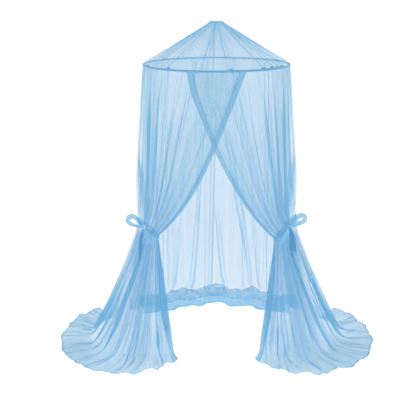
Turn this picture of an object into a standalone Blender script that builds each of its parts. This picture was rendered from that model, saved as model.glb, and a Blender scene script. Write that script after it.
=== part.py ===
"""Mosquito net canopy: a round hoop hung from a small crown by a cone of net.

Two front drops overlap under the hoop, are drawn aside to ties and spread below them as trains on the
floor. The rear drop hangs straight and lies bunched on the floor. The origin is the middle of the crown's
top face, where the canopy hangs from the ceiling. The front is -Y, and the floor is TOTAL_HEIGHT below.
"""

import math

import bmesh
import bpy
import numpy as np
from mathutils import Vector

# ---- driving dimensions, in metres -------------------------------------------------------------------
TOTAL_HEIGHT = 2.406
HOOP_RADIUS = 0.525
HOOP_DROP = 0.299  # from the crown's top to the middle of the hoop
ROD_RADIUS = 0.005
CROWN_RADIUS = 0.050
CROWN_THICKNESS = 0.003
NET = 0.0015  # the gathered net and its hems
SEWN_BAND = 0.0012  # the casing round the hoop
GAP = 0.0003  # between two pieces that meet
SEAM_GAP = 0.0008  # between the casing and a drop that hangs from it at a slant
FLOOR = -TOTAL_HEIGHT
HOOP_Z = -HOOP_DROP

# the casing's square section, at the middle of its cloth, and the slit that faces the axis
CASING_HALF = ROD_RADIUS + 0.0005 + SEWN_BAND / 2
SLIT_HALF = 0.0020
ROUND_STEPS = 40

# where the drops start on the hoop, in degrees from the front centre towards their own side
FRONT_START, FRONT_END = -22.0, 104.0
REAR_START, REAR_END = 98.0, 262.0
LAP = 0.005  # how far a drop sits outside or inside the hoop's middle where two drops overlap
LAP_BULGE = 0.055  # how far the outer drop stands off where it crosses the inner one

# the gathered waist of a front drop, measured towards its own side
WAIST_X, WAIST_Y, WAIST_HEIGHT = 0.508, -0.160, 0.925
WAIST_HALF_WIDTH, WAIST_HALF_DEPTH = 0.078, 0.042
NECK = 0.050  # the height over which the waist keeps its section
FLARE_POWER = 1.15  # how the skirt below the waist curves outwards
FLOOR_EASE = 0.060  # how softly it turns to lie on the floor
HEM_WAVE = 0.010  # how far the hem wanders in and out
STRIP_THICKNESS, STRIP_WIDTH = 0.0015, 0.028  # the cloth of a tie

FRONT_FOLDS, REAR_FOLDS, ROOF_CREASES = 10, 9, 10
COLUMNS_PER_FOLD = 4
# how far folds and creases stand out of the smooth middle of their cloth
SEWN_FOLD, HANGING_FOLD, LAPPED_FOLD, SKIRT_FOLD, FLOOR_FOLD = 0.002, 0.019, 0.009, 0.042, 0.012
REAR_FOLD, ROOF_CREASE = 0.018, 0.006
BELLY = 0.016  # how far the drops stand out from the straight line below the hoop
STRAIGHT_SHARE = 0.70  # how much of a front drop's way to its tie is straight, the rest bending in late

# how a front drop leaves its waist: share across the cloth, turn from straight ahead towards its own side,
# distance at which it meets the floor, and distance of its hem
TRAIN = [
    dict(share=0.00, turn=-25.0, foot=0.25, hem=0.35),
    dict(share=0.15, turn=-5.0, foot=0.30, hem=0.465),
    dict(share=0.30, turn=17.0, foot=0.34, hem=0.575),
    dict(share=0.50, turn=52.0, foot=0.38, hem=0.645),
    dict(share=0.70, turn=88.0, foot=0.41, hem=0.665),
    dict(share=0.85, turn=118.0, foot=0.43, hem=0.695),
    dict(share=1.00, turn=146.0, foot=0.43, hem=0.745),
]
# the rows of a front drop: 0 to 1 from hoop to waist, 1 to 2 the neck, 2 to 3 from the neck to the hem
HANGING_ROWS = [0.0, 0.08, 0.2, 0.36, 0.54, 0.72, 0.88, 1.0]
SKIRT_ROWS = [2.0, 2.07, 2.17, 2.29, 2.42, 2.54, 2.64, 2.74, 2.87, 3.0]

# where the rear drop comes down: share across, degrees round from the front, distance from the axis
REAR_FOOT = [
    dict(share=0.00, turn=118.0, radius=0.830),
    dict(share=0.12, turn=133.0, radius=0.720),
    dict(share=0.24, turn=148.0, radius=0.698),
    dict(share=0.37, turn=164.0, radius=0.650),
    dict(share=0.50, turn=180.0, radius=0.705),
    dict(share=0.63, turn=196.0, radius=0.665),
    dict(share=0.76, turn=212.0, radius=0.685),
    dict(share=0.88, turn=227.0, radius=0.715),
    dict(share=1.00, turn=242.0, radius=0.830),
]
# the bunch in which the rear drop lies on the floor: outwards from REAR_FOOT, and above the floor
BUNCH = [
    dict(step=1.00, out=0.000, up=0.180),
    dict(step=1.20, out=0.004, up=0.075),
    dict(step=1.35, out=-0.004, up=0.012),
    dict(step=1.50, out=-0.026, up=0.040),
    dict(step=1.65, out=-0.040, up=0.105),
    dict(step=1.80, out=-0.062, up=0.138),
    dict(step=1.95, out=-0.090, up=0.105),
    dict(step=2.10, out=-0.104, up=0.050),
    dict(step=2.25, out=-0.092, up=0.008),
    dict(step=2.40, out=-0.060, up=0.003),
]
REAR_ROWS = [0.0, 0.1, 0.28, 0.5, 0.72, 0.9] + [row["step"] for row in BUNCH]

# the two sides: sign of X, rise of the tie per metre outwards, whether its drop lies over the other one,
# and where its folds are wide or narrow
SIDES = {
    "left": dict(sign=-1, rise=0.50, over=0.0, phase=0.4),
    "right": dict(sign=1, rise=0.80, over=1.0, phase=2.1),
}
# the loose ends of each tie: reach outwards and down from the knot, and how far the tip stands forward
TIE_ENDS = {
    "left": [dict(out=0.040, down=0.225, forward=0.050), dict(out=-0.050, down=0.118, forward=0.034)],
    "right": [dict(out=0.029, down=0.230, forward=0.050), dict(out=0.066, down=0.205, forward=0.040)],
}
KNOT_X = 0.535
KNOT_SIZE = Vector((0.013, 0.010, 0.015))
LOOP_REACH, LOOP_HALF, LOOP_RISE = 0.130, 0.034, 33.0  # its length, half its height and its lean in degrees

NET_BLUE = (0.43, 0.68, 0.88, 1.0)
DEEP_BLUE = (0.22, 0.48, 0.76, 1.0)
WHITE_PLASTIC = (0.80, 0.86, 0.92, 1.0)


# ---- small helpers ---------------------------------------------------------------------------------
def ease(x):
    """0 below 0, 1 above 1, and a soft step between."""
    x = np.clip(x, 0.0, 1.0)
    return x * x * (3.0 - 2.0 * x)


def mix(a, b, share):
    return a + (b - a) * share


def read(rows, key, column, x):
    """The column of a table at x, on a smooth curve through its rows."""
    knots = np.array([row[key] for row in rows])
    values = np.array([row[column] for row in rows])
    slopes = np.gradient(values, knots)
    k = np.clip(np.searchsorted(knots, x, side="right") - 1, 0, len(knots) - 2)
    width = knots[k + 1] - knots[k]
    s = np.clip((x - knots[k]) / width, 0.0, 1.0)
    start = (1 + 2 * s) * (1 - s) ** 2 * values[k] + s * (1 - s) ** 2 * width * slopes[k]
    end = s * s * (3 - 2 * s) * values[k + 1] - s * s * (1 - s) * width * slopes[k + 1]
    return start + end


def uneven(share, phase):
    """The same share across the cloth, with folds of unequal width."""
    slow = 0.016 * np.sin(2 * math.pi * 1.7 * share + phase)
    quick = 0.010 * np.sin(2 * math.pi * 3.9 * share + 2 * phase)
    return share + (slow + quick) * np.sin(math.pi * share)


def heading(degrees):
    """Unit X and Y at an angle from the front centre towards +X."""
    angle = np.radians(degrees)
    return np.sin(angle), -np.cos(angle)


def outward(points):
    """Unit normals of a grid of points, on the side away from the canopy's inside."""
    across = np.gradient(points, axis=1)
    down = np.gradient(points, axis=0)
    normals = np.cross(down, across)
    return normals / np.linalg.norm(normals, axis=2, keepdims=True)


# ---- the front drops -------------------------------------------------------------------------------
def waist_height(x, side):
    return WAIST_HEIGHT + side["rise"] * (x - WAIST_X)


def front_base(share, v, side):
    """The smooth middle of a front drop, before its folds, with X counted towards its own side."""
    hoop_x, hoop_y = heading(mix(FRONT_START, FRONT_END, share))
    front = 1 - ease((share - 0.36) / 0.20)
    rear = ease((share - 0.80) / 0.15)
    over = side["over"]
    t = np.clip(v, 0.0, 1.0)
    sweep = mix(t**5, t, STRAIGHT_SHARE)
    lap = LAP * (rear + front * mix(-(1 - ease(t / 0.1)), 1.0, over))
    cross = over * LAP_BULGE * (1 - ease(share / 0.5)) * ease(t / 0.13) * (1 - ease((t - 0.40) / 0.35))
    belly = BELLY * np.sin(math.pi * t) ** 0.8
    radius = HOOP_RADIUS + lap + cross + belly
    waist_x = WAIST_X + WAIST_HALF_WIDTH * (2 * share - 1)
    x = mix(hoop_x * radius, waist_x, sweep)
    y = mix(hoop_y * radius, WAIST_Y, sweep)
    top = HOOP_Z - CASING_HALF - SEWN_BAND / 2 - SEAM_GAP
    waist = waist_height(waist_x, side)
    z = mix(top, FLOOR + waist + NECK / 2, t) - NECK * np.clip(v - 1, 0.0, 1.0)
    return skirt(share, np.clip(v - 2, 0.0, 1.0), x, y, z, side)


def skirt(share, w, x, y, z, side):
    """Below the neck: out and down to the floor, then along it to an uneven hem."""
    foot = read(TRAIN, "share", "foot", share)
    hem = read(TRAIN, "share", "hem", share) + HEM_WAVE * np.sin(2 * math.pi * 8.3 * share + side["phase"])
    out_x, out_y = heading(read(TRAIN, "share", "turn", share))
    q = w * (hem / foot) ** (1 / FLARE_POWER)
    reach = foot * q**FLARE_POWER
    drop = (z - FLOOR) * (1 - q)
    lying = 0.5 * (drop + np.sqrt(drop**2 + FLOOR_EASE**2 * ease(w / 0.2)))
    return np.stack([x + reach * out_x, y + reach * out_y, FLOOR + lying], axis=2)


def front_folds(share, v, side):
    """How far the folds of a front drop stand out of its smooth middle."""
    t = np.clip(v, 0.0, 1.0)
    w = np.clip(v - 2, 0.0, 1.0)
    lapped = 1 - ease((share - 0.2) / 0.2)
    hanging = mix(HANGING_FOLD, LAPPED_FOLD, lapped * (1 - ease((t - 0.4) / 0.3)))
    waist = WAIST_HALF_DEPTH * np.sqrt(np.clip(1 - (2 * share - 1) ** 2, 0.02, 1.0))
    depth = mix(SEWN_FOLD, hanging, ease(t / 0.35))
    depth = mix(depth, waist, ease((t - 0.55) / 0.45))
    depth = mix(depth, mix(SKIRT_FOLD, FLOOR_FOLD, ease((w - 0.42) / 0.4)), ease(w / 0.25))
    depth = depth * mix(0.3, 1.0, ease(np.minimum(share, 1 - share) / 0.06))
    slack = 1 - ease((t - 0.5) / 0.45) * (1 - ease(w / 0.25))
    unequal = 1 + 0.22 * slack * np.sin(2 * math.pi * 2.3 * share + side["phase"])
    lying = ease((w - 0.48) / 0.22)
    wave = np.cos(2 * math.pi * FRONT_FOLDS * share)
    return depth * unequal * (wave + lying)


def front_drop(name, side):
    columns = np.linspace(0.0, 1.0, FRONT_FOLDS * COLUMNS_PER_FOLD + 1)
    share, v = np.meshgrid(columns, np.array(HANGING_ROWS + SKIRT_ROWS))
    base = front_base(uneven(share, side["phase"]), v, side)
    points = base + outward(base) * front_folds(share, v, side)[:, :, None]
    points[:, :, 2] = np.maximum(points[:, :, 2], FLOOR + NET / 2)
    points[:, :, 0] *= side["sign"]
    return sheet(name, points, NET, finish("net_cloth", NET_BLUE, 0.9))


# ---- the rear drop ---------------------------------------------------------------------------------
def rear_base(share, v):
    """The smooth middle of the rear drop: straight down, then bunched on the floor."""
    fall = np.clip(v, 0.0, 1.0)
    belly = BELLY * np.sin(math.pi * fall)
    hoop_x, hoop_y = heading(mix(REAR_START, REAR_END, share))
    top_radius = HOOP_RADIUS - LAP - 0.004 * ease(fall / 0.1) + belly
    foot_x, foot_y = heading(read(REAR_FOOT, "share", "turn", share))
    lumps = 0.012 * np.sin(2 * math.pi * 4.3 * share + 0.6) + 0.008 * np.sin(2 * math.pi * 9.1 * share)
    bunched = ease((v - 1.2) / 0.3)
    foot_radius = read(REAR_FOOT, "share", "radius", share) + read(BUNCH, "step", "out", v) + lumps * bunched
    spread = fall**1.6
    x = mix(hoop_x * top_radius, foot_x * foot_radius, spread)
    y = mix(hoop_y * top_radius, foot_y * foot_radius, spread)
    top = HOOP_Z - CASING_HALF - SEWN_BAND / 2 - SEAM_GAP
    up = read(BUNCH, "step", "up", np.maximum(v, 1.0)) * (1 + 8 * lumps * bunched)
    return np.stack([x, y, mix(top, FLOOR + up, fall)], axis=2)


def rear_folds(share, v):
    depth = mix(SEWN_FOLD, REAR_FOLD, ease(v / 0.4)) * (1 - 0.60 * ease((v - 0.9) / 0.4))
    edges = mix(0.35, 1.0, ease(np.minimum(share, 1 - share) / 0.12))
    unequal = 1 + 0.3 * np.sin(2 * math.pi * 2.9 * share + 1.0)
    lying = ease((v - 2.1) / 0.15)
    return depth * edges * unequal * (np.cos(2 * math.pi * REAR_FOLDS * share) + lying)


def rear_drop(name):
    columns = np.linspace(0.0, 1.0, REAR_FOLDS * COLUMNS_PER_FOLD + 1)
    share, v = np.meshgrid(columns, np.array(REAR_ROWS))
    base = rear_base(uneven(share, 1.3), v)
    points = base + outward(base) * rear_folds(share, v)[:, :, None]
    points[:, :, 2] = np.maximum(points[:, :, 2], FLOOR + NET / 2)
    return sheet(name, points, NET, finish("net_cloth", NET_BLUE, 0.9))


# ---- hoop, crown and roof --------------------------------------------------------------------------
def hoop():
    bpy.ops.mesh.primitive_torus_add(
        location=(0, 0, HOOP_Z),
        major_segments=ROUND_STEPS,
        minor_segments=6,
        major_radius=HOOP_RADIUS,
        minor_radius=ROD_RADIUS,
    )
    return place(bpy.context.object, "hoop", finish("hoop_rod", WHITE_PLASTIC, 0.4))


def hoop_casing():
    """A band folded round the rod, open along the side that faces the axis."""
    half, lip = CASING_HALF, SLIT_HALF
    corners = [(-half, lip), (-half, half), (half, half), (half, -half), (-half, -half), (-half, -lip)]
    mesh = bpy.data.meshes.new("hoop_casing")
    bm = bmesh.new()
    section = [bm.verts.new((HOOP_RADIUS + out, 0, HOOP_Z + up)) for out, up in corners]
    for start, end in zip(section, section[1:]):
        bm.edges.new((start, end))
    bm.to_mesh(mesh)
    bm.free()
    cloth = finish("sewn_band", DEEP_BLUE, 0.85)
    obj = place(bpy.data.objects.new("hoop_casing", mesh), "hoop_casing", cloth)
    turn = obj.modifiers.new("turn", "SCREW")
    turn.steps = turn.render_steps = ROUND_STEPS
    turn.use_merge_vertices = True
    turn.merge_threshold = 0.00001
    thicken(obj, SEWN_BAND)
    return obj


def crown_disc():
    bpy.ops.mesh.primitive_cylinder_add(
        vertices=36, radius=CROWN_RADIUS, depth=CROWN_THICKNESS, location=(0, 0, -CROWN_THICKNESS / 2)
    )
    return place(bpy.context.object, "crown_disc", finish("sewn_band", DEEP_BLUE, 0.85))


def roof():
    """A cone of net with soft radial creases, open at the crown and at the hoop."""
    steep = math.atan2(HOOP_DROP, HOOP_RADIUS)
    half_up = NET / 2 * math.cos(steep)
    top, bottom = -CROWN_THICKNESS - GAP - half_up, HOOP_Z + CASING_HALF + SEWN_BAND / 2 + GAP + half_up
    inner, rows = CROWN_RADIUS - 0.004, 4
    bm = bmesh.new()
    bmesh.ops.create_cone(
        bm, segments=ROOF_CREASES * COLUMNS_PER_FOLD, radius1=HOOP_RADIUS, radius2=inner, depth=top - bottom
    )
    slopes = [edge for edge in bm.edges if abs(edge.verts[0].co.z - edge.verts[1].co.z) > 0.01]
    bmesh.ops.subdivide_edges(bm, edges=slopes, cuts=rows - 1, use_grid_fill=True)
    for vert in bm.verts:
        vert.co.z += (top + bottom) / 2
        down = (top - vert.co.z) / (top - bottom)
        angle = math.atan2(vert.co.y, vert.co.x)
        crease = ROOF_CREASE * math.cos(ROOF_CREASES * angle) * (1 + 0.4 * math.sin(3 * angle + 1.0))
        vert.co.z += math.sin(math.pi * down) * (crease - ROOF_CREASE)
    mesh = bpy.data.meshes.new("roof")
    bm.to_mesh(mesh)
    bm.free()
    obj = place(bpy.data.objects.new("roof", mesh), "roof", finish("net_cloth", NET_BLUE, 0.9))
    thicken(obj, NET)
    return obj


# ---- the ties --------------------------------------------------------------------------------------
def tie(name, side, ends):
    """A strip round the waist, with its knot, one bow loop and two pointed ends, as one solid."""
    cloth = finish("tie_strip", DEEP_BLUE, 0.85)
    knot = knot_centre(side)
    band = strip(name, band_path(side), Vector((0, 0, 1)), side, cloth, closed=True)
    pieces = [knot_lump(name + "_knot", knot, side, cloth)]
    pieces.append(strip(name + "_loop", *loop_path(knot), side, cloth))
    for number, end in enumerate(ends):
        pieces.append(strip(f"{name}_end{number}", *end_path(knot, **end), side, cloth))
    for piece in pieces:
        join = band.modifiers.new("join", "BOOLEAN")
        join.operation = "UNION"
        join.object = as_cutter(piece)
    return band


def knot_centre(side):
    along = (KNOT_X - WAIST_X) / WAIST_HALF_WIDTH
    depth = WAIST_HALF_DEPTH * math.sqrt(1 - along**2)
    return Vector((KNOT_X, WAIST_Y - depth - 0.011, FLOOR + waist_height(KNOT_X, side)))


def band_path(side, steps=28, room=0.0034):
    """Round the waist's oval, rising towards its own side."""
    points = []
    for turn in np.linspace(0, 2 * math.pi, steps + 1):
        x = WAIST_X + (WAIST_HALF_WIDTH + room) * math.cos(turn)
        y = WAIST_Y + (WAIST_HALF_DEPTH + room) * math.sin(turn)
        points.append(Vector((x, y, FLOOR + waist_height(x, side))))
    return points


def loop_path(knot, steps=14):
    """A drop-shaped loop that leans up and outwards, and the way its width faces at each step."""
    lean = math.radians(LOOP_RISE)
    along = Vector((math.cos(lean), 0, math.sin(lean)))
    beside = Vector((-math.sin(lean), 0, math.cos(lean)))
    points, widths = [], []
    for turn in np.linspace(0.01, 0.99, steps + 1) * math.pi:
        point = along * LOOP_REACH * math.sin(turn) + beside * LOOP_HALF * math.sin(2 * turn)
        heading_now = along * LOOP_REACH * math.cos(turn) + beside * LOOP_HALF * 2 * math.cos(2 * turn)
        forward = Vector((0, -0.024 * math.sin(turn) - 0.005 * math.cos(turn), 0))
        across = heading_now.normalized().cross(Vector((0, 1, 0)))
        points.append(knot + point + forward)
        widths.append((across * 0.8 + Vector((0, 0.6, 0))) * mix(0.45, 1.0, ease(math.sin(turn) / 0.7)))
    return points, widths


def end_path(knot, out, down, forward, steps=6):
    """A loose end: the points of its middle, hanging over the skirt, and the ways its width faces."""
    points, widths = [], []
    for share in np.linspace(0.0, 1.0, steps):
        stand = forward * ease(share * 1.2)
        points.append(knot + Vector((out * share, -stand, -down * share)))
        widths.append(Vector((1, 0, out / down)).normalized() * mix(1.0, 0.12, ease((share - 0.75) / 0.25)))
    return points, widths


def knot_lump(name, knot, side, material):
    bm = bmesh.new()
    bmesh.ops.create_uvsphere(bm, u_segments=10, v_segments=6, radius=1.0)
    for vert in bm.verts:
        vert.co = knot + Vector(a * b for a, b in zip(vert.co, KNOT_SIZE))
        vert.co.x *= side["sign"]
    if side["sign"] < 0:
        bmesh.ops.reverse_faces(bm, faces=bm.faces)
    mesh = bpy.data.meshes.new(name)
    bm.to_mesh(mesh)
    bm.free()
    return place(bpy.data.objects.new(name, mesh), name, material)


def strip(name, middle, widths, side, material, closed=False):
    """A flat strip along its middle line, as wide as a tie."""
    widths = widths if isinstance(widths, list) else [widths] * len(middle)
    rows = []
    for point, width in zip(middle, widths):
        rows.append([point - width * STRIP_WIDTH / 2, point + width * STRIP_WIDTH / 2])
    points = np.array([[tuple(corner) for corner in row] for row in rows])
    points[:, :, 0] *= side["sign"]
    return sheet(name, points, STRIP_THICKNESS, material, closed)


# ---- making and placing objects ----------------------------------------------------------------------
def sheet(name, points, thickness, material, closed=False):
    """One sheet: a grid whose points are moved to these rows and columns, then given its thickness."""
    rows, columns = points.shape[:2]
    bm = bmesh.new()
    bmesh.ops.create_grid(bm, x_segments=columns - 1, y_segments=rows - 1, size=0.5)
    for vert in bm.verts:
        column = round((vert.co.x + 0.5) * (columns - 1))
        row = round((0.5 - vert.co.y) * (rows - 1))
        vert.co = points[row, column]
    if closed:
        bmesh.ops.remove_doubles(bm, verts=bm.verts, dist=0.00001)
    mesh = bpy.data.meshes.new(name)
    bm.to_mesh(mesh)
    bm.free()
    obj = place(bpy.data.objects.new(name, mesh), name, material)
    thicken(obj, thickness)
    return obj


def thicken(obj, thickness):
    solidify = obj.modifiers.new("thickness", "SOLIDIFY")
    solidify.thickness = thickness
    solidify.offset = 0.0


def as_cutter(obj):
    """Moves a helper to the second collection, out of the render."""
    for owner in list(obj.users_collection):
        owner.objects.unlink(obj)
    bpy.data.collections["helpers"].objects.link(obj)
    obj.hide_render = True
    obj.display_type = "WIRE"
    return obj


def place(obj, name, material):
    """Names a piece, gives it its material, shades it smooth and puts it with the canopy."""
    obj.name = obj.data.name = name
    for owner in list(obj.users_collection):
        owner.objects.unlink(obj)
    bpy.data.collections["mosquito_net_canopy"].objects.link(obj)
    obj.data.materials.clear()
    obj.data.materials.append(material)
    obj.data.shade_smooth()
    obj.data.set_sharp_from_angle(angle=math.radians(40))
    return obj


def finish(name, colour, roughness):
    """The material of that name, made when it is first asked for."""
    material = bpy.data.materials.get(name)
    if material is None:
        material = bpy.data.materials.new(name)
        material.use_nodes = True
        shader = material.node_tree.nodes["Principled BSDF"]
        shader.inputs["Base Color"].default_value = colour
        shader.inputs["Roughness"].default_value = roughness
        shader.inputs["Metallic"].default_value = 0.0
    return material


def main():
    for obj in list(bpy.data.objects):
        bpy.data.objects.remove(obj)
    for name in ("mosquito_net_canopy", "helpers"):
        bpy.context.scene.collection.children.link(bpy.data.collections.new(name))
    bpy.data.collections["helpers"].hide_render = True
    crown_disc()
    roof()
    hoop()
    hoop_casing()
    rear_drop("back_panel")
    for name, side in SIDES.items():
        front_drop(f"{name}_panel", side)
        tie(f"{name}_tie", side, TIE_ENDS[name])


main()
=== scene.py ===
# %% [markdown]
# # A mosquito net canopy with its hoop
#
# The real thing is four pieces of very fine net sewn to a hoop: a cone for the roof, two front drops that
# overlap and are tied aside, and a rear drop. Nothing in it is stiff but the hoop. What the eye reads as
# shape is the number of layers of net that it looks through, so this script makes the folds as real
# surfaces that overlap, and lets the layers add up by themselves.

import math

import bpy
import numpy as np
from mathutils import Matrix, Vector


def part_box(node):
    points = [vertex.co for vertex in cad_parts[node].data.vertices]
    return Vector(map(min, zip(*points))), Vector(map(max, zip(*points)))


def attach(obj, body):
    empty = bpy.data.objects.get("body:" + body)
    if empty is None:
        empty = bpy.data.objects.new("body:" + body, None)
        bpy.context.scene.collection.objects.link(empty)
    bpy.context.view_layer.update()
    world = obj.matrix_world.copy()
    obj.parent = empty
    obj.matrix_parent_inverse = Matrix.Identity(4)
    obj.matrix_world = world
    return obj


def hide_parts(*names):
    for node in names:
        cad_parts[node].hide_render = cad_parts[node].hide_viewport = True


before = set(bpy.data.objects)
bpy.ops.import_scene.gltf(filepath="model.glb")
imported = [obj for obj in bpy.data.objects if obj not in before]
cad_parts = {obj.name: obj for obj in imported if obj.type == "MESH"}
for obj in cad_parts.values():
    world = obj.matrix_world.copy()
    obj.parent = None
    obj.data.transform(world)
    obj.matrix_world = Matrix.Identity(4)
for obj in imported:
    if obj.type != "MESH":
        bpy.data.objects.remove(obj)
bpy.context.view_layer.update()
print("nodes:", sorted(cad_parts))

# %% [markdown]
# ## The camera
#
# The hoop's ellipse, the crown and the floor fix one camera: it stands 5.5 m in front of the hoop's axis, a
# little above the crown, and looks down by 16 degrees. The canopy stands a few pixels right of the middle
# of the picture, which a small lens shift gives without turning the view.

# %% Camera
PICTURE_PX = 416
FOCAL_PX = 753.3
AXIS_PX = 216.5  # where the crown's axis stands across the picture
SENSOR_MM = 36.0
CAMERA_BACK = 5.5
CAMERA_ABOVE_CROWN = 0.2175
CAMERA_DOWN = 16.19  # degrees

bpy.ops.object.camera_add(
    location=(0, -CAMERA_BACK, CAMERA_ABOVE_CROWN), rotation=(math.radians(90 - CAMERA_DOWN), 0, 0)
)
camera = bpy.context.object
camera.data.sensor_width = SENSOR_MM
camera.data.lens = FOCAL_PX * SENSOR_MM / PICTURE_PX
camera.data.shift_x = (PICTURE_PX / 2 - AXIS_PX) / PICTURE_PX
bpy.context.scene.camera = camera
print("lens:", round(camera.data.lens, 1), "mm")

# %% [markdown]
# ## Shader maths as plain expressions
#
# A material is a tree of nodes, and its maths is easier to read as an expression than as a list of nodes.
# `Wire` wraps a socket, so that `1 - mask * 0.3` adds the two Math nodes that it needs. `Finish` holds one
# material and adds every other kind of node through one method.


# %% Wires and finishes
def maths_operator(operation, reflected=False):
    """An operator that adds one Math node. Reflected, it takes the wire as its second value."""

    def method(self, other):
        return self.finish.maths(operation, *((other, self) if reflected else (self, other)))

    return method


class Wire:
    """An output socket that can be used in sums, differences, products and comparisons."""

    def __init__(self, finish, socket):
        self.finish = finish
        self.socket = socket

    __add__ = __radd__ = maths_operator("ADD")
    __mul__ = __rmul__ = maths_operator("MULTIPLY")
    __sub__ = maths_operator("SUBTRACT")
    __rsub__ = maths_operator("SUBTRACT", reflected=True)
    __lt__ = maths_operator("LESS_THAN")
    __gt__ = maths_operator("GREATER_THAN")


class Finish:
    """A material and the nodes that are added to it."""

    def __init__(self, name, **constants):
        self.material = bpy.data.materials.new(name)
        self.material.use_nodes = True
        self.tree = self.material.node_tree
        self.shader = self.tree.nodes["Principled BSDF"]
        for socket, value in constants.items():
            self.shader.inputs[socket.replace("_", " ")].default_value = value

    def node(self, kind, settings=None, inputs=None, output=0):
        added = self.tree.nodes.new(kind)
        for name, value in (settings or {}).items():
            setattr(added, name, value)
        for name, value in (inputs or {}).items():
            self.put(added.inputs[name], value)
        return Wire(self, added.outputs[output])

    def put(self, socket, value):
        if isinstance(value, Wire):
            self.tree.links.new(value.socket, socket)
        else:
            socket.default_value = value

    def maths(self, operation, *values):
        return self.node("ShaderNodeMath", {"operation": operation}, dict(enumerate(values)))

    def clamped(self, value):
        return self.node("ShaderNodeClamp", inputs={"Value": value})

    def blend(self, share, first, second):
        """A colour between two, by a Mix node."""
        added = self.tree.nodes.new("ShaderNodeMix")
        added.data_type = "RGBA"
        sockets = {socket.name: socket for socket in added.inputs if socket.enabled}
        for name, value in (("Factor", share), ("A", first), ("B", second)):
            self.put(sockets[name], value)
        return Wire(self, [socket for socket in added.outputs if socket.enabled][0])

    def feed(self, socket, value):
        self.put(self.shader.inputs[socket], value)


print("shader maths ready")

# %% [markdown]
# ## The net
#
# Mosquito net is knitted in hexagons about 2 mm wide from thread as fine as hair. Seen from a few metres
# it is a veil: each layer hides about a third of what lies behind it. The hexagons come from three cosines
# that run 60 degrees apart over the flat cloth. Their sum is highest in the middle of each hole and lowest
# on the threads. How much a layer hides is stored on the mesh as `cover`, because cloth that is gathered
# into less room has more thread in each square centimetre.

# %% Net, sizes and colours
TURN = 2 * math.pi
MESH_WIDTH = 0.0021
NET_TINT = (0.163, 0.445, 0.651, 1.0)
ROOF_TINT = (0.145, 0.475, 0.735, 1.0)  # a little bluer and lighter than the drops' net
SEAM_TINT = (0.110, 0.380, 0.620, 1.0)
TIE_TINT = (0.130, 0.420, 0.665, 1.0)
HOLE_EDGE, HOLE_SHARPNESS = 0.6, 0.9  # where the sum of cosines turns from hole to thread, and how fast
STITCH_FROM_EDGE = 0.009
STITCH_HALF = 0.0006
STITCH_LENGTH = 0.0045
STITCH_SHARE = 0.72  # of a stitch's length that shows, the rest being the needle's hole
THREAD_COVER, STITCH_COVER = 0.9, 0.45
PALER = 1.12  # how much lighter the net's colour drifts in places
print("net: a hole each", MESH_WIDTH * 1000, "mm")


# %% Net finish
def flat_place(finish):
    """The place on the flat cloth, in metres, across and down, from the piece's own UV map."""
    place = finish.node("ShaderNodeUVMap")
    across = finish.node("ShaderNodeSeparateXYZ", inputs={0: place}, output="X")
    down = finish.node("ShaderNodeSeparateXYZ", inputs={0: place}, output="Y")
    return across, down


def hexagon_threads(finish, across, down, width):
    """1 on the threads of a hexagonal net and 0 in its holes."""
    turn = TURN / width
    first = finish.maths("COSINE", across * turn)
    second = finish.maths("COSINE", (down * math.sqrt(0.75) - across * 0.5) * turn)
    third = finish.maths("COSINE", (down * math.sqrt(0.75) + across * 0.5) * turn)
    return finish.clamped(HOLE_EDGE - (first + second + third) * HOLE_SHARPNESS)


def stitches(finish, down):
    """1 on the machine stitches beside a hemmed edge, which the mesh marks with its `from_edge`."""
    edge = finish.node("ShaderNodeAttribute", {"attribute_name": "from_edge"}, output="Fac")
    on_line = (edge > STITCH_FROM_EDGE - STITCH_HALF) * (edge < STITCH_FROM_EDGE + STITCH_HALF)
    return on_line * (finish.maths("FRACT", down * (1 / STITCH_LENGTH)) < STITCH_SHARE)


def net_finish(name, tint, hole_share=0.62):
    """A net whose holes still hide a share of its cover, for the threads that are too thin to draw."""
    finish = Finish(name, Roughness=0.75, Specular_IOR_Level=0.25, Sheen_Weight=0.15, Sheen_Roughness=0.5)
    across, down = flat_place(finish)
    threads = hexagon_threads(finish, across, down, MESH_WIDTH)
    sewn = stitches(finish, down)
    cover = finish.node("ShaderNodeAttribute", {"attribute_name": "cover"}, output="Fac")
    drift = finish.node("ShaderNodeTexNoise", {"noise_dimensions": "2D"}, {"Scale": 7.0, "Detail": 3.0})
    paler = tuple(min(1.0, part * PALER) for part in tint[:3]) + (1.0,)
    cloth = finish.blend(drift, tint, paler)
    finish.feed("Base Color", finish.blend(sewn, cloth, SEAM_TINT))
    finish.feed("Alpha", finish.clamped(cover * (hole_share + threads * THREAD_COVER) + sewn * STITCH_COVER))
    raised = {"Height": threads + sewn, "Distance": 0.0002}
    finish.feed("Normal", finish.node("ShaderNodeBump", inputs=raised))
    return finish.material


NET = net_finish("sheer_blue_net", NET_TINT)
ROOF_NET = net_finish("sheer_blue_roof_net", ROOF_TINT)
BAND = net_finish("sewn_net_band", SEAM_TINT, hole_share=0.85)
TIE = net_finish("folded_tie_net", TIE_TINT, hole_share=0.80)
print("net finishes:", NET.name, ROOF_NET.name, BAND.name, TIE.name)

# %% [markdown]
# ## Reading a table, easing and random ripples
#
# The folds are put together from a few small functions. `rising` and `falling` are soft steps, `bump` is a
# soft hill, `read` draws a smooth curve through the rows of a table, and `ripple` is a field of random
# heights, the same at every run, which makes cloth uneven.

# %% Small helpers
def table(columns, *rows):
    """A list of rows whose values go by the names of their columns."""
    return [dict(zip(columns.split(), row)) for row in rows]


def ease(x):
    """0 below 0, 1 above 1, and a soft step between."""
    x = np.clip(x, 0.0, 1.0)
    return x * x * (3.0 - 2.0 * x)


def rising(x, start, width):
    """0 up to the start, and 1 from there plus the width on."""
    return ease((x - start) / width)


def falling(x, start, width):
    return 1 - rising(x, start, width)


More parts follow.
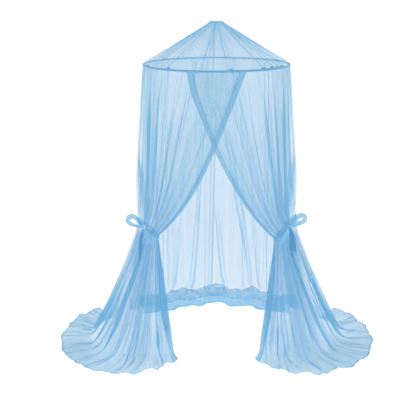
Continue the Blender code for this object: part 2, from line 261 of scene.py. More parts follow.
def inside(share, width):
    """0 at both side edges of a cloth, and 1 from that width inwards."""
    return ease(np.minimum(share, 1 - share) / width)


def bump(x, middle, width, power=2):
    """1 in the middle, and near 0 from a few widths to either side of it."""
    return np.exp(-(((x - middle) / width) ** power))


def mix(a, b, share):
    return a + (b - a) * share


def read(rows, key, column, x):
    """The column of a table at x, on a smooth curve through its rows."""
    knots = np.array([row[key] for row in rows])
    values = np.array([row[column] for row in rows])
    slopes = np.gradient(values, knots)
    k = np.clip(np.searchsorted(knots, x, side="right") - 1, 0, len(knots) - 2)
    width = knots[k + 1] - knots[k]
    s = np.clip((x - knots[k]) / width, 0.0, 1.0)
    start = (1 + 2 * s) * (1 - s) ** 2 * values[k] + s * (1 - s) ** 2 * width * slopes[k]
    end = s * s * (3 - 2 * s) * values[k + 1] - s * s * (1 - s) * width * slopes[k + 1]
    return start + end


def ripple(x, y, seed):
    """Smooth random heights from -1 to 1, one bump to each unit of x and y."""
    heights = np.random.default_rng(seed).uniform(-1, 1, (64, 64))
    column, row = np.floor(x).astype(int), np.floor(y).astype(int)
    along, up = ease(x - column), ease(y - row)
    low = mix(heights[row % 64, column % 64], heights[row % 64, (column + 1) % 64], along)
    high = mix(heights[(row + 1) % 64, column % 64], heights[(row + 1) % 64, (column + 1) % 64], along)
    return mix(low, high, up)


def heading(degrees):
    """Unit X and Y at an angle from the front centre towards +X."""
    angle = np.radians(degrees)
    return np.sin(angle), -np.cos(angle)


print("helpers ready")

# %% [markdown]
# ## From the flat cut to the hanging cloth
#
# Every sheet here is one grid of small faces that stands for the flat cut, and its points are moved to
# where that bit of cloth hangs. The UV map keeps the place on the flat cut in metres, so the net's hexagons
# follow each fold. How much of what lies behind it a point hides grows with the thread in front of the eye.
# A table gives how closely the net is packed there, a crease adds a line, and a fold that turns its side to
# the eye adds more.

# %% Surfaces and what they hide
LEAST_SQUARE_ON = 0.42  # a fold's side never counts as turned further away than this
SIDE_POWER = 0.5


def on_surface(base, share, row, *more):
    """The points of a smooth surface, and its outward normals there."""
    step = 0.002
    across = base(share + step, row, *more) - base(share - step, row, *more)
    down = base(share, row + step, *more) - base(share, row - step, *more)
    normal = np.cross(down, across)
    return base(share, row, *more), normal / np.linalg.norm(normal, axis=2, keepdims=True)


def arc_lengths(points):
    """How far down the cloth each row of a grid of points lies, in metres."""
    steps = np.linalg.norm(np.diff(points, axis=0), axis=2).mean(axis=1)
    return np.concatenate([[0.0], np.cumsum(steps)])


def veil(density, lines, points, normals):
    """What each point of a sheet hides, from 0 to 1."""
    face = np.cross(np.gradient(points, axis=0), np.gradient(points, axis=1))
    square_on = np.abs((face * normals).sum(axis=2)) / np.maximum(np.linalg.norm(face, axis=2), 1e-12)
    return 1 - np.exp(-(density * np.maximum(square_on, LEAST_SQUARE_ON) ** -SIDE_POWER + lines))


print("a fold's side hides up to", round(LEAST_SQUARE_ON**-SIDE_POWER, 2), "times as much")


# %% Sheets from grids
def dress(mesh, material, **fields):
    """Gives a mesh its finish, and each of its points the values that the finish reads."""
    for name, values in fields.items():
        mesh.attributes.new(name, "FLOAT", "POINT").data.foreach_set("value", values.astype(np.float32))
    mesh.materials.append(material)
    mesh.shade_smooth()


def make_sheet(name, points, flat, cover, material, from_edge=None):
    """A grid of faces whose points are moved to these places, with its flat places and its cover."""
    rows, columns = points.shape[:2]
    bpy.ops.object.select_all(action="DESELECT")
    bpy.ops.mesh.primitive_grid_add(x_subdivisions=columns - 1, y_subdivisions=rows - 1, size=1)
    sheet = bpy.context.object
    sheet.name = sheet.data.name = name
    mesh = sheet.data
    start = np.empty(len(mesh.vertices) * 3, np.float32)
    mesh.vertices.foreach_get("co", start)
    column = np.rint((start[0::3] + 0.5) * (columns - 1)).astype(int)
    row = np.rint((0.5 - start[1::3]) * (rows - 1)).astype(int)
    mesh.vertices.foreach_set("co", points[row, column].astype(np.float32).ravel())
    corner = np.empty(len(mesh.loops), np.int32)
    mesh.loops.foreach_get("vertex_index", corner)
    mesh.uv_layers.active.data.foreach_set("uv", flat[row, column][corner].astype(np.float32).ravel())
    edges = np.ones(cover.shape) if from_edge is None else from_edge
    dress(mesh, material, cover=np.clip(cover, 0, 1)[row, column], from_edge=edges[row, column])
    mesh.update()
    print(f"{name}: {rows} x {columns} points, cover {cover.min():.2f} to {cover.max():.2f}")
    return sheet


print("sheet maker ready")

# %% Gathers, hems and creases
HEM_TURNS = np.array([0.35, 0.7, 1.0])
CREASE_STARTS_IN, CREASE_ENDS_IN = 0.12, 0.15  # rows in which a crease appears and dies out


def gathered(count, width, gathers):
    """Flat places across a cloth, and the share of the hanging width where each of them hangs.

    Each gather is (middle, width, strength), where strength above 0 gathers more cloth there than elsewhere
    and below 0 less.
    """
    share = np.linspace(0, 1, count)
    dense = 1 + sum(strength * bump(share, middle, wide) for middle, wide, strength in gathers)
    flat = np.concatenate([[0.0], np.cumsum((dense[1:] + dense[:-1]) / 2)])
    return flat / flat[-1] * width, share


def hemmed(flat, share, hem, hem_share):
    """Turns the first edge in twice: flat place, share across, layer behind, and distance from the edge."""
    turned_flat = np.concatenate([-hem * HEM_TURNS, -hem * (1 + HEM_TURNS)])
    turned_share = np.concatenate([hem_share * HEM_TURNS, hem_share * (1 - HEM_TURNS)])
    behind = np.concatenate([np.repeat([1.0, 2.0], 3), np.zeros(len(flat))])
    places = np.concatenate([turned_share[::-1], share])
    from_edge = np.concatenate([np.ones(6), np.maximum(flat, 0)])
    return np.concatenate([turned_flat[::-1], flat]), places, behind, from_edge


def creases(share, row, drawn):
    """Sideways shift, lift and extra thread of a list of creases.

    One with a positive tuck folds the cloth over itself and shows as one line. One with a negative tuck
    stands out as a ridge, whose steep sides show as two.
    """
    aside, out, lines = np.zeros_like(share), np.zeros_like(share), np.zeros_like(share)
    for line in drawn:
        down = np.clip((row - line["start"]) / (line["end"] - line["start"]), 0.0, 1.0)
        centre = mix(line["top"], line["foot"], down)
        sharp = rising(row, line["start"], CREASE_STARTS_IN) * falling(row, line["end"], CREASE_ENDS_IN)
        t = (share - centre) / line["width"]
        bell = np.exp(-t * t)
        folded = line["tuck"] > 0
        aside -= line["tuck"] * line["width"] * t * bell * sharp
        out += line["depth"] * bell * sharp * (t if folded else 1.0)
        lines += line["ink"] * sharp * (bell if folded else (math.e * t * t * bell) ** 2)
    return aside, out, lines


print("gathers, hems and creases ready")

# %% [markdown]
# ## The front drops
#
# Each front drop is sewn in gathers to the hoop, drawn aside to a tie, and spread below it as a train. The
# smooth middle of that shape is the same as the solid's. On it lie ten main folds, which the tie squeezes
# into a bundle, and between them many narrow tucks. A tuck moves the cloth sideways over itself, so that
# the eye looks through three layers there: that is what draws the fine dark lines in hanging net.

# %% Front drop, sizes
HOOP_LOW, HOOP_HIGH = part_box("hoop")
HOOP_Z = (HOOP_LOW.z + HOOP_HIGH.z) / 2
ROD_RADIUS = 0.005
HOOP_RADIUS = HOOP_HIGH.x - ROD_RADIUS
FLOOR = -2.406
CASING_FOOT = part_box("hoop_casing")[0].z - 0.0008
FRONT_START, FRONT_END = -22.0, 104.0  # degrees round the hoop from its front middle
LAP, LAP_BULGE = 0.005, 0.055  # how far outside its neighbour a drop lies at the hoop, and where they cross
WAIST_X, WAIST_Y = 0.508, -0.160
KNOT_X = 0.535
WAIST_HALF_WIDTH, WAIST_HALF_DEPTH = 0.078, 0.042
NECK = 0.020  # the height of the squeezed part under the tie
FLARE_POWER = 1.15
FLOOR_EASE = 0.060  # how softly the skirt turns from hanging to lying
HEM_WAVE, SCALLOP = 0.008, 0.007
BELLY = 0.016  # how far the drop swells out halfway down
STRAIGHT_SHARE = 0.755  # 1 would draw each thread straight to the tie
TRAIN = table(
    "share turn foot hem",
    (0.00, -25.0, 0.25,  0.35),
    (0.15,  -5.0, 0.30, 0.465),
    (0.30,  17.0, 0.34, 0.575),
    (0.50,  52.0, 0.38, 0.645),
    (0.70,  88.0, 0.41, 0.665),
    (0.85, 118.0, 0.43, 0.695),
    (1.00, 146.0, 0.43, 0.745),
)
PUFF_EASE = 0.22
# how far the outer side stands out beyond the rest, from the hoop (row 0) past the tie (1 to 2) to the
# hem (3)
PUFF = table(
    "row out start",
    (0.00, 0.000, 0.78),
    (0.15, 0.006, 0.78),
    (0.30, 0.010, 0.76),
    (0.57, 0.019, 0.62),
    (0.80, 0.012, 0.58),
    (1.00, 0.003, 0.58),
    (2.00, 0.000, 0.58),
    (2.15, 0.001, 0.58),
    (2.35, 0.007, 0.58),
    (2.60, 0.004, 0.58),
    (2.80, 0.000, 0.58),
    (3.00, 0.000, 0.58),
)
# over is 1 for the drop that laps over the other, and rise is how steeply the tie climbs outwards
SIDES = {
    "left": dict(sign=-1, height=0.940, rise=0.86, over=0.0, phase=0.4, seed=11),
    "right": dict(sign=1, height=0.949, rise=1.20, over=1.0, phase=2.1, seed=23),
}
print("hoop radius", round(HOOP_RADIUS, 3), "hoop height", round(HOOP_Z - FLOOR, 3))


# %% Front drop, smooth middle
def uneven(share, phase):
    """The same share across the cloth, with folds of unequal width."""
    slow = 0.016 * np.sin(TURN * 1.7 * share + phase)
    quick = 0.010 * np.sin(TURN * 3.9 * share + 2 * phase)
    return share + (slow + quick) * np.sin(math.pi * share)


def waist_height(x, side):
    return side["height"] + side["rise"] * (x - KNOT_X)


def front_base(share, row, side):
    """The smooth middle of a front drop, with X counted towards its own side."""
    hoop_x, hoop_y = heading(mix(FRONT_START, FRONT_END, share))
    front = falling(share, 0.36, 0.20)
    rear = rising(share, 0.80, 0.15)
    t = np.clip(row, 0.0, 1.0)
    sweep = mix(t**5, t, STRAIGHT_SHARE)
    lap = LAP * (rear + front * mix(-falling(t, 0, 0.1), 1.0, side["over"]))
    cross = side["over"] * LAP_BULGE * falling(share, 0, 0.5) * rising(t, 0, 0.13) * falling(t, 0.40, 0.35)
    radius = HOOP_RADIUS + lap + cross + BELLY * np.sin(math.pi * t) ** 0.8
    waist_x = WAIST_X + WAIST_HALF_WIDTH * (2 * share - 1)
    x = mix(hoop_x * radius, waist_x, sweep)
    x = x + read(PUFF, "row", "out", row) * rising(share, read(PUFF, "row", "start", row), PUFF_EASE)
    y = mix(hoop_y * radius, WAIST_Y, sweep)
    low = FLOOR + waist_height(waist_x, side) + NECK / 2
    z = mix(CASING_FOOT, low, t) - NECK * np.clip(row - 1, 0.0, 1.0)
    return skirt(share, np.clip(row - 2, 0.0, 1.0), x, y, z, side)


def skirt(share, w, x, y, z, side):
    """Below the neck: out and down to the floor, then along it to an uneven hem."""
    share = np.clip(share, 0.0, 1.0)
    foot = read(TRAIN, "share", "foot", share)
    wavy = rising(share, 0, 0.10)
    hem = read(TRAIN, "share", "hem", share)
    hem = hem + HEM_WAVE * wavy * np.sin(TURN * 8.3 * share + side["phase"])
    hem = hem + SCALLOP * wavy * (np.abs(np.sin(math.pi * 27 * share + side["phase"])) - 0.6)
    out_x, out_y = heading(read(TRAIN, "share", "turn", share))
    q = w * (hem / foot) ** (1 / FLARE_POWER)
    reach = foot * q**FLARE_POWER
    drop = (z - FLOOR) * (1 - q)
    lying = 0.5 * (drop + np.sqrt(drop**2 + FLOOR_EASE**2 * rising(w, 0, 0.2)))
    return np.stack([x + reach * out_x, y + reach * out_y, FLOOR + lying], axis=2)


print("ties at", [round(waist_height(KNOT_X, side), 3) for side in SIDES.values()], "m above the floor")

# %% [markdown]
# The ten main folds follow the solid's. They are shallow where the drop turns the corner at its outer side,
# because the cloth hangs nearly smooth there and the eye sees a pale strip along the outline.

# %% Front drop, main folds
FRONT_FOLDS = 10
SEWN_FOLD, HANGING_FOLD, LAPPED_FOLD, SKIRT_FOLD, FLOOR_FOLD = 0.002, 0.019, 0.009, 0.042, 0.009


def front_folds(share, row, side):
    """How far the main folds stand out of the smooth middle."""
    t = np.clip(row, 0.0, 1.0)
    w = np.clip(row - 2, 0.0, 1.0)
    lapped = falling(share, 0.2, 0.2)
    corner = rising(share, 0.62, 0.08)
    hanging = mix(HANGING_FOLD, LAPPED_FOLD, lapped * falling(t, 0.4, 0.3))
    hanging = hanging * (1 - 0.8 * corner * falling(t, 0.5, 0.3))
    waist = WAIST_HALF_DEPTH * np.sqrt(np.clip(1 - (2 * share - 1) ** 2, 0.02, 1.0))
    skirt_fold = SKIRT_FOLD * (1 - 0.45 * rising(share, 0.5, 0.15))
    depth = mix(SEWN_FOLD, hanging, rising(t, 0, 0.35))
    depth = mix(depth, waist, rising(t, 0.55, 0.45))
    depth = mix(depth, mix(skirt_fold, FLOOR_FOLD, rising(w, 0.42, 0.4)), rising(w, 0, 0.25))
    depth = depth * mix(0.3, 1.0, inside(share, 0.06))
    slack = 1 - rising(t, 0.5, 0.45) * falling(w, 0, 0.25)
    unequal = 1 + 0.22 * slack * np.sin(TURN * 2.3 * share + side["phase"])
    lying = rising(w, 0.48, 0.22)
    return depth * unequal * (np.cos(TURN * FRONT_FOLDS * share) + lying)


print("main folds ready")

# %% [markdown]
# The small creases come in seven kinds, a row of the table for each, with the least and most of what
# varies. Some gather the drop at the hoop, some fan from there to the tie, and the rest sweep down the flare
# and the train. A seeded generator draws them, so every run gives the same cloth.

# %% Front drop, creases
FRONT_CREASES = table(
    "count first last start end sway width tuck ink",
    # gathers below the hoop
    (24, 0.00, 1.00, (-0.2, -0.2), (0.04, 0.22), 0.003, (0.0025, 0.0045), (-0.9, -0.3), (0.06, 0.22)),
    # ridges and folds that fan to the tie
    (11, 0.03, 0.60, (-0.2, 0.35), (0.80, 1.30), 0.009, (0.0045, 0.0090), (-1.0, -0.4), (0.08, 0.24)),
    (15, 0.03, 0.66, (-0.2, 0.35), (0.85, 1.30), 0.010, (0.0024, 0.0050), (0.7, 1.4), (0.22, 0.58)),
    # ridges down the outer side
    (7, 0.68, 0.98, (-0.2, 0.10), (1.00, 1.30), 0.007, (0.0030, 0.0060), (-0.8, -0.3), (0.06, 0.18)),
    # fine lines of the flare and the train
    (26, 0.02, 0.98, (1.9, 2.30), (3.2, 3.2), 0.025, (0.0035, 0.0080), (-1.0, -0.3), (0.10, 0.30)),
    (18, 0.03, 0.97, (1.9, 2.45), (3.2, 3.2), 0.045, (0.0035, 0.0065), (1.1, 1.8), (0.12, 0.36)),
    # broad laps of the train, which end before its hem
    (14, 0.08, 0.94, (2.20, 2.60), (2.78, 2.87), 0.065, (0.0120, 0.0240), (1.3, 1.9), (0.0, 0.05)),
)
FOLD_LEAN = 0.35  # how far the main folds lean over to one side
CREASE_DEPTH = 0.40  # how far a crease stands out, compared with its width


def drawn_creases(kinds, seed, cut_width):
    """The creases of all kinds, each with its own place, length, width and overlap."""
    draw = np.random.default_rng(seed)
    drawn = []
    for kind in kinds:
        for number in range(kind["count"]):
            place = (number + draw.uniform(0.1, 0.9)) / kind["count"]
            top = mix(kind["first"], kind["last"], place)
            line = {part: draw.uniform(*kind[part]) for part in ("start", "end", "width", "tuck", "ink")}
            line.update(top=top, foot=top + draw.uniform(-kind["sway"], kind["sway"]))
            line["depth"] = line["width"] * cut_width * CREASE_DEPTH
            drawn.append(line)
    return drawn


print("creases ready")

# %% [markdown]
# A sewer would cut one width of net, turn its front edge in twice and gather it to the hoop. The mesh does
# the same: columns of points on the flat cut, the hem's turns added beside the first of them, and each
# column moved to its share of the hanging width. The net there is as dense as the table says: thin on the
# outer side, and thickest in a band where the cloth turns the corner and in the walls of the flare.

# %% Front drop, its cut and how closely it is packed
FRONT_CUT_WIDTH = 1.90
SIDE_HEM = 0.048
HEM_SHARE = 0.044  # of the hanging width that the side hem covers
BOTTOM_HEM = 0.012  # in rows
LAYER_GAP = 0.0010
FRONT_COLUMNS = 800
FRONT_GATHERS = [(0.60, 0.07, 0.9), (0.86, 0.15, -0.8), (0.15, 0.15, 0.25)]
# how closely the net is packed, from the hoop (row 0) past the tie (1 to 2) to the hem (3)
FRONT_DENSITY = table(
    "row inner wall band outer band_at band_half outer_from",
    (0.00, 0.34, 0.23, 0.74, 0.45, 0.745, 0.155, 0.88),
    (0.30, 0.33, 0.22, 0.68, 0.24, 0.700, 0.135, 0.82),
    (0.57, 0.36, 0.28, 0.52, 0.22, 0.665, 0.140, 0.79),
    (0.80, 0.46, 0.39, 0.25, 0.09, 0.560, 0.130, 0.68),
    (1.00, 0.60, 0.54, 0.22, 0.05, 0.470, 0.110, 0.60),
    (2.00, 0.62, 0.92, 0.66, 0.12, 0.490, 0.085, 0.54),
    (2.30, 0.49, 0.92, 0.60, 0.15, 0.500, 0.080, 0.51),
    (2.55, 0.66, 0.86, 0.66, 0.36, 0.500, 0.080, 0.52),
    (2.75, 0.66, 0.82, 0.80, 0.74, 0.500, 0.085, 0.58),
    (3.00, 0.70, 0.80, 0.80, 0.80, 0.500, 0.085, 0.60),
)
HEM_DENSITY = 0.25  # the turned-in hem isn't gathered


def front_density(share, row):
    columns = "inner wall band outer band_at band_half outer_from".split()
    inner, wall, band, outer, band_at, band_half, outer_from = (
        read(FRONT_DENSITY, "row", column, row) for column in columns
    )
    packed = mix(inner, wall, rising(share, 0.20, 0.16))
    packed = mix(packed, band, bump(share, band_at, band_half, 4))
    front_edge = 0.45 * bump(share, 0, 0.078, 4) * rising(row, 0.25, 0.2) * falling(row, 0.72, 0.2)
    packed = packed * (1 + front_edge)
    return mix(packed, outer, rising(share, outer_from, mix(0.05, 0.12, rising(row, 1.9, 0.3))))


print("front drops are cut", FRONT_CUT_WIDTH + 2 * SIDE_HEM, "m wide")


# %% Front drop, put together
def front_rows():
    """Rows from the hoop to the hem, with the hem turned up once, and the layer that each is in."""
    rows = list(np.linspace(0, 1, 36)) + [1.3, 1.65] + list(np.linspace(2, 3, 56))
    return np.array(rows + [3 - BOTTOM_HEM]), np.array([0] * len(rows) + [1])


def on_the_floor(points):
    """Lifts what would be under the floor, and eases what is just above it."""
    above = points[:, :, 2] - FLOOR - 0.001
    points[:, :, 2] = FLOOR + 0.0012 + 0.5 * (above + np.sqrt(above**2 + 0.004**2))
    return points


def cut_places(flat_x, points):
    """The flat place of each point: across from the cut, and down by the length of the hanging cloth."""
    down = -arc_lengths(points)
    return np.stack(np.broadcast_arrays(flat_x[None, :], down[:, None]), axis=2)


def front_drop(name, side):
    """One front drop, made on the right and turned round for the left."""
    flat_x, share = gathered(FRONT_COLUMNS, FRONT_CUT_WIDTH, FRONT_GATHERS)
    flat_x, place, behind, from_edge = hemmed(flat_x, share, SIDE_HEM, HEM_SHARE)
    rows, under = front_rows()
    share, row = np.meshgrid(place, rows)
    t, w = np.clip(row, 0, 1), np.clip(row - 2, 0, 1)
    lying = rising(w, 0.25, 0.3)
    free = rising(share, 0, mix(0.03, 0.14, lying)) * ease((1 - share) / mix(0.03, 0.06, lying))
    aside, out, lines = creases(share, row, drawn_creases(FRONT_CREASES, side["seed"], FRONT_CUT_WIDTH))
    lean = mix(0.3, 0.7, rising(t, 0, 0.3)) * (1 - 0.7 * rising(w, 0.3, 0.4))
    wave = TURN * FRONT_FOLDS * share
    leaning = FOLD_LEAN * lean * np.cos(wave) * falling(w, 0, 0.3)
    sideways = (lean * np.sin(2 * wave) / 4 + leaning) / (math.pi * FRONT_FOLDS)
    sideways = sideways + 0.010 * ripple(share * 8, w * 3.2, side["seed"] + 2) * lying
    bent = uneven(share, side["phase"])
    points, normals = on_surface(front_base, np.clip(bent + (sideways + aside) * free, 0, 1), row, side)
    fine = 0.0009 * ripple(share * 46, row * 1.6, side["seed"] + 1) * rising(row, 0, 0.05)
    crinkled = 0.005 * (1 - 2 * np.abs(ripple(share * 30 + w * 6, w * 4, side["seed"] + 3))) * lying
    squeeze = 1 - 0.8 * rising(t, 0.75, 0.2) * falling(w, 0, 0.1)
    squeeze = squeeze * (1 - 0.7 * rising(share, 0.74, 0.06) * falling(w, 0, 0.4))
    lift = front_folds(share, row, side) + (out + fine + crinkled) * squeeze * free
    lift = lift - LAYER_GAP * (behind[None, :] + under[:, None])
    points = on_the_floor(points + normals * lift[:, :, None])
    flat = cut_places(flat_x, points)
    streaks = ripple(share * 31, row * 0.9, side["seed"] + 4)
    streaks = streaks + 0.5 * ripple(share * 117, row * 1.1, side["seed"] + 5)
    patches = ripple(share * 7 + row * 2, w * 5 + share * 3, side["seed"] + 6) * lying
    density = front_density(share, row) * (1 + 0.12 * streaks + 0.22 * patches)
    density = np.where(behind[None, :] > 0, HEM_DENSITY, density)
    lines = lines + 0.42 * bump(from_edge, STITCH_FROM_EDGE, 0.004)[None, :]
    cover = veil(density, lines, points, normals)
    from_edge = np.broadcast_to(from_edge, cover.shape)
    points[:, :, 0] *= side["sign"]
    if side["sign"] < 0:
        points, flat, cover, from_edge = (part[:, ::-1] for part in (points, flat, cover, from_edge))
    drop = make_sheet(f"{name}_front_drop", points, flat, cover, NET, from_edge)
    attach(drop, "root")
    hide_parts(f"{name}_panel")


for name, side in SIDES.items():
    front_drop(name, side)

# %% [markdown]
# ## The rear drop
#
# The rear drop hangs from the back half of the hoop, nearly smooth, with a few long creases, and its spare
# length lies crumpled on the floor. The creases are listed one by one, one row of a table each.

# %% Rear drop, sizes
REAR_START, REAR_END = 98.0, 262.0
REAR_FOLDS, REAR_FOLD = 9, 0.018
REAR_CUT_WIDTH = 2.00
REAR_COLUMNS = 640
REAR_DENSITY = table(
    "row packed",
    (0.00, 0.45),
    (1.00, 0.45),
    (1.20, 0.34),
    (1.85, 0.34),
    (1.98, 0.60),
    (2.10, 1.15),
    (2.40, 1.15),
)
REAR_GATHERS = [(0.16, 0.05, 0.8), (0.84, 0.05, 0.8), (0.0, 0.08, -0.5), (1.0, 0.08, -0.5)]
REAR_FOOT = table(
    "share turn radius",
    (0.00, 118.0, 0.830),
    (0.12, 133.0, 0.720),
    (0.24, 148.0, 0.698),
    (0.37, 164.0, 0.650),
    (0.50, 180.0, 0.705),
    (0.63, 196.0, 0.665),
    (0.76, 212.0, 0.685),
    (0.88, 227.0, 0.715),
    (1.00, 242.0, 0.830),
)
BUNCH = table(
    "row out up",
    (1.00,  0.000, 0.180),
    (1.20,  0.004, 0.075),
    (1.35, -0.004, 0.012),
    (1.50, -0.026, 0.040),
    (1.65, -0.040, 0.105),
    (1.80, -0.062, 0.130),
    (1.95, -0.105, 0.112),
    (2.10, -0.142, 0.058),
    (2.25, -0.150, 0.010),
    (2.40, -0.110, 0.003),
)
REAR_CREASES = table(
    "top foot start end width tuck depth ink",
    (0.500, 0.528, 0.20, 1.10, 0.0075, -0.6, 0.013, 0.50),
    (0.490, 0.445, 0.62, 1.10, 0.0065, -0.6, 0.011, 0.42),
    (0.560, 0.652, 0.25, 1.10, 0.0080, -0.6, 0.013, 0.50),
    (0.660, 0.773, 0.40, 1.10, 0.0070, -0.6, 0.011, 0.42),
    (0.455, 0.291, 0.25, 1.10, 0.0080, -0.6, 0.013, 0.50),
    (0.345, 0.227, 0.35, 1.10, 0.0070, -0.6, 0.011, 0.42),
    (0.620, 0.600, -0.1, 0.70, 0.0050, -0.5, 0.008, 0.26),
    (0.415, 0.400, -0.1, 0.60, 0.0050, -0.5, 0.008, 0.26),
    (0.540, 0.560, -0.1, 1.10, 0.0040, -0.5, 0.006, 0.26),
    (0.380, 0.350, 0.10, 1.10, 0.0040, -0.5, 0.006, 0.26),
    (0.130, 0.120, -0.1, 1.10,  0.009,  1.2, 0.005, 0.16),
    (0.160, 0.155, -0.1, 1.10,  0.008,  1.2, 0.004, 0.16),
    (0.190, 0.190, -0.1, 1.10,  0.009,  1.2, 0.005, 0.16),
    (0.225, 0.215, -0.1, 0.90,  0.007,  1.2, 0.004, 0.16),
    (0.870, 0.880, -0.1, 1.10,  0.009,  1.2, 0.005, 0.16),
    (0.840, 0.845, -0.1, 1.10,  0.008,  1.2, 0.004, 0.16),
    (0.810, 0.810, -0.1, 1.10,  0.009,  1.2, 0.005, 0.16),
    (0.775, 0.785, -0.1, 0.90,  0.007,  1.2, 0.004, 0.16),
)

print("creases in the rear drop:", len(REAR_CREASES))

# %% [markdown]
# Down to row 1 the drop hangs. From there the middle of the cloth follows a rolled path, up, over and in
# under itself, as a heap of cloth lies. Nine main folds run down it.

# %% Rear drop, smooth middle and main folds
def rear_base(share, row):
    """The smooth middle of the rear drop: straight down, then bunched on the floor."""
    hung = np.clip(row, 0.0, 1.0)
    hoop_x, hoop_y = heading(mix(REAR_START, REAR_END, share))
    top_radius = HOOP_RADIUS - LAP - 0.004 * rising(hung, 0, 0.1) + BELLY * np.sin(math.pi * hung)
    foot_x, foot_y = heading(read(REAR_FOOT, "share", "turn", share))
    lumps = 0.012 * np.sin(TURN * 4.3 * share + 0.6) + 0.008 * np.sin(TURN * 9.1 * share)
    bunched = rising(row, 1.2, 0.3)
    foot_radius = read(REAR_FOOT, "share", "radius", share)
    foot_radius = foot_radius + read(BUNCH, "row", "out", row) + lumps * bunched
    spread = hung**1.6
    x = mix(hoop_x * top_radius, foot_x * foot_radius, spread)
    y = mix(hoop_y * top_radius, foot_y * foot_radius, spread)
    up = read(BUNCH, "row", "up", np.maximum(row, 1.0)) * (1 + 3 * lumps * bunched)
    return np.stack([x, y, mix(CASING_FOOT, FLOOR + up, hung)], axis=2)


def rear_folds(share, row):
    depth = mix(SEWN_FOLD, REAR_FOLD, rising(row, 0, 0.4))
    depth = depth * (1 - 0.60 * rising(row, 0.9, 0.4)) * (1 - 0.7 * rising(row, 1.9, 0.2))
    edges = mix(0.35, 1.0, inside(share, 0.12))
    unequal = 1 + 0.3 * np.sin(TURN * 2.9 * share + 1.0)
    lying = rising(row, 2.1, 0.15)
    return depth * edges * unequal * (np.cos(TURN * REAR_FOLDS * share) + lying)


print("rear folds ready")

# %% [markdown]
# Net that lies in a heap is folded sharply at random. Here the folds run where two fields of random heights
# pass through zero, and each shows as a line. Three more fields shove whole patches about, one along each
# axis.

# %% Rear drop, put together
REAR_ROWS = np.concatenate([np.linspace(0, 1, 40), np.linspace(1.02, 2.4, 66)])
FACET_HEIGHT, SHOVE = 0.016, 0.008
FACET_LINE, FACET_LINE_WIDTH = 0.40, 0.09


def rear_drop():
    flat_x, share = gathered(REAR_COLUMNS, REAR_CUT_WIDTH, REAR_GATHERS)
    share, row = np.meshgrid(share, REAR_ROWS)
    aside, out, lines = creases(share, row, REAR_CREASES)
    free = inside(share, 0.03)
    crumpled = rising(row, 1.02, 0.2)
    loose = crumpled * falling(row, 1.95, 0.15)
    shoved = 0.011 * ripple(share * 24 + 7, row * 6, 8) * loose
    bent = uneven(share, 1.3)
    points, normals = on_surface(rear_base, np.clip(bent + (aside + shoved) * free, 0, 1), row)
    folded_edges = (
        ripple(share * 23 + row * 6, row * 4 - share * 9, 5),
        ripple(share * 27 - row * 7, row * 4 + share * 12, 6),
    )
    facets = 0.5 - 1.6 * np.abs(folded_edges[0]) - 1.4 * np.abs(folded_edges[1])
    crest = 1 - 0.4 * bump(row, 1.82, 0.12)
    fine = 0.0012 * ripple(share * 30, row * 4, 9) * rising(row, 0, 0.05)
    lift = rear_folds(share, row) + (out + fine) * free + FACET_HEIGHT * facets * loose * crest
    points = points + normals * lift[:, :, None]
    for axis, seed in enumerate((12, 13, 14)):
        points[:, :, axis] += SHOVE * ripple(share * 15, row * 5.5, seed) * loose
    points = on_the_floor(points)
    flat = cut_places(flat_x, points)
    streaks = ripple(share * 93, row * 2.1, 15) + ripple(share * 171, row * 2.7, 16)
    density = read(REAR_DENSITY, "row", "packed", row) * (1 + 0.05 * streaks)
    density = density * mix(0.6, 1.0, inside(share, 0.07))
    for edge in folded_edges:
        lines = lines + FACET_LINE * bump(edge, 0, FACET_LINE_WIDTH) * loose
    cover = veil(density, lines, points, normals)
    drop = make_sheet("rear_drop", points, flat, cover, NET)
    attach(drop, "root")
    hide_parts("back_panel")


rear_drop()

# %% [markdown]
# ## The roof
#
# The roof is a cone of net from the crown to the hoop. It is gathered at the crown, so creases run down
# from there and die out on the way. A doubled seam runs down its front.

# %% Roof, sizes and creases
CROWN_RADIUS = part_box("crown_disc")[1].x
CROWN_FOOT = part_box("crown_disc")[0].z
ROOF_CREASES = 10
ROOF_TOP, ROOF_FOOT = CROWN_FOOT - 0.001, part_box("hoop_casing")[1].z + 0.001
ROOF_GATHERS = table(
    "count first last start end sway width tuck ink",
    # short gathers all round the crown
    (18, 0.00, 1.00, (-0.2, -0.2), (0.20, 0.80), 0.003, (0.0030, 0.0050), (-0.9, -0.3), (0.05, 0.16)),
)
# turn is in degrees from the front, and a line that ends after 1 runs down to the hoop
ROOF_LINES = table(
    "turn end width tuck ink",
    (-68, 1.3, 0.0040, -0.6, 0.41),
    (-61, 1.3, 0.0045, -0.8, 0.54),
    (-55, 1.3, 0.0035,  1.2, 0.68),
    (-47, 0.9, 0.0035, -0.6, 0.41),
    (-40, 1.3, 0.0035,  1.2, 0.68),
    (-36, 0.8, 0.0030, -0.5, 0.34),
    (-14, 1.3, 0.0045, -0.7, 0.38),
    ( -9, 1.3, 0.0035, -0.5, 0.27),
    ( 10, 1.3, 0.0035, -0.6, 0.32),
    ( 17, 0.8, 0.0030, -0.5, 0.24),
    ( 37, 1.3, 0.0035,  1.2, 0.57),
    ( 43, 0.9, 0.0035, -0.6, 0.41),
    ( 49, 1.3, 0.0035,  1.2, 0.68),
    ( 56, 1.3, 0.0040, -0.8, 0.49),
    ( 63, 1.3, 0.0040, -0.6, 0.41),
    (100, 1.3, 0.0040, -0.6, 0.34),
    (121, 1.0, 0.0035,  1.0, 0.41),
    (148, 1.3, 0.0035, -0.6, 0.27),
    (171, 1.3, 0.0045, -0.7, 0.41),
    (188, 1.3, 0.0045, -0.7, 0.41),
    (209, 0.9, 0.0035, -0.6, 0.27),
    (236, 1.3, 0.0035,  1.0, 0.41),
    (262, 1.3, 0.0040, -0.6, 0.34),
)
ROOF_CREASE = 0.006
ROOF_CUT_WIDTH = 3.3
